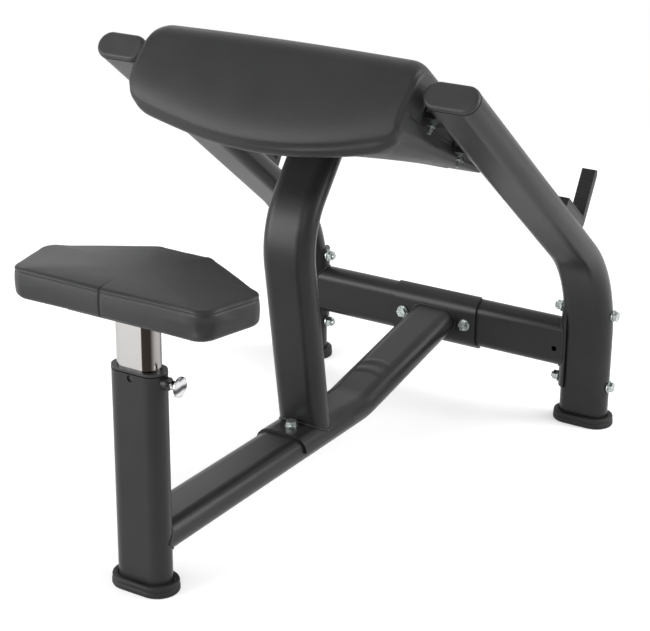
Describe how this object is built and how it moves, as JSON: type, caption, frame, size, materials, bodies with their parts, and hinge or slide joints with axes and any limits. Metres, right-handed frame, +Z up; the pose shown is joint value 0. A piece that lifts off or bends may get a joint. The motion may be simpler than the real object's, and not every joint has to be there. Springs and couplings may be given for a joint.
{
  "type": "preacher curl bench",
  "caption": "Preacher curl bench with a flat-oval tube frame, sloped arm pad, bar hooks and a height-adjustable seat on a telescoping post with a pull pin.",
  "frame": {"origin": "on the floor under the middle of the whole bench", "axes": "+X across the bench, +Y from the seat towards the crossbeam, +Z up"},
  "size_m": [0.7836, 1.1229, 0.8347],
  "materials": {
    "black_paint": "satin black powder coat",
    "vinyl": "black vinyl with a fine grain",
    "plywood": "plywood painted black",
    "foot_rubber": "black rubber",
    "black_plastic": "matte black plastic",
    "liner_plastic": "matte black wear liner",
    "seat_chrome": "polished plating",
    "pin_chrome": "bright plating",
    "zinc": "zinc plated steel"
  },
  "bodies": {
    "frame": {"arm_pad": "vinyl", "arm_pad_board": "plywood", "bar_hook_left": "black_paint", "bar_hook_right": "black_paint", "base_beam": "black_paint", "beam_saddle_bolts": "zinc", "beam_saddle_nuts": "zinc", "beam_saddle_washers": "zinc", "centre_post": "black_paint", "centre_post_bolts": "zinc", "centre_post_nuts": "zinc", "centre_post_saddle": "black_paint", "centre_post_washers": "zinc", "cross_beam": "black_paint", "cross_beam_saddle": "black_paint", "end_saddle_left": "black_paint", "end_saddle_right": "black_paint", "hook_bolts": "zinc", "hook_liner_left": "liner_plastic", "hook_liner_right": "liner_plastic", "hook_washers": "zinc", "pad_bracket_bolts": "zinc", "pad_bracket_left": "black_paint", "pad_bracket_nuts": "zinc", "pad_bracket_right": "black_paint", "pad_bracket_washers": "zinc", "pad_lugs_left": "black_paint", "pad_lugs_right": "black_paint", "pad_plate": "black_paint", "pad_plate_screws": "zinc", "pin_barrel": "black_paint", "seat_post": "black_paint", "seat_post_bush": "black_plastic", "seat_post_foot": "foot_rubber", "upright_bolts": "zinc", "upright_cap_left": "black_plastic", "upright_cap_right": "black_plastic", "upright_foot_left": "foot_rubber", "upright_foot_right": "foot_rubber", "upright_left": "black_paint", "upright_nuts": "zinc", "upright_right": "black_paint", "upright_washers": "zinc"},
    "seat": {"seat_tube": "seat_chrome", "seat_tube_plug": "black_plastic", "seat_plate": "black_paint", "seat_board": "plywood", "seat_pad": "vinyl", "seat_screws": "zinc"},
    "pin": {"pin_plunger": "pin_chrome", "pin_knob": "pin_chrome"}
  },
  "joints": [
    {"name": "seat_height", "type": "slide", "parent": "frame", "child": "seat", "axis": [0, 0, 1], "range_m": [0, 0.12]},
    {"name": "pin_pull", "type": "slide", "parent": "frame", "child": "pin", "axis": [1, 0, 0], "range_m": [-0.005, 0]}
  ]
}
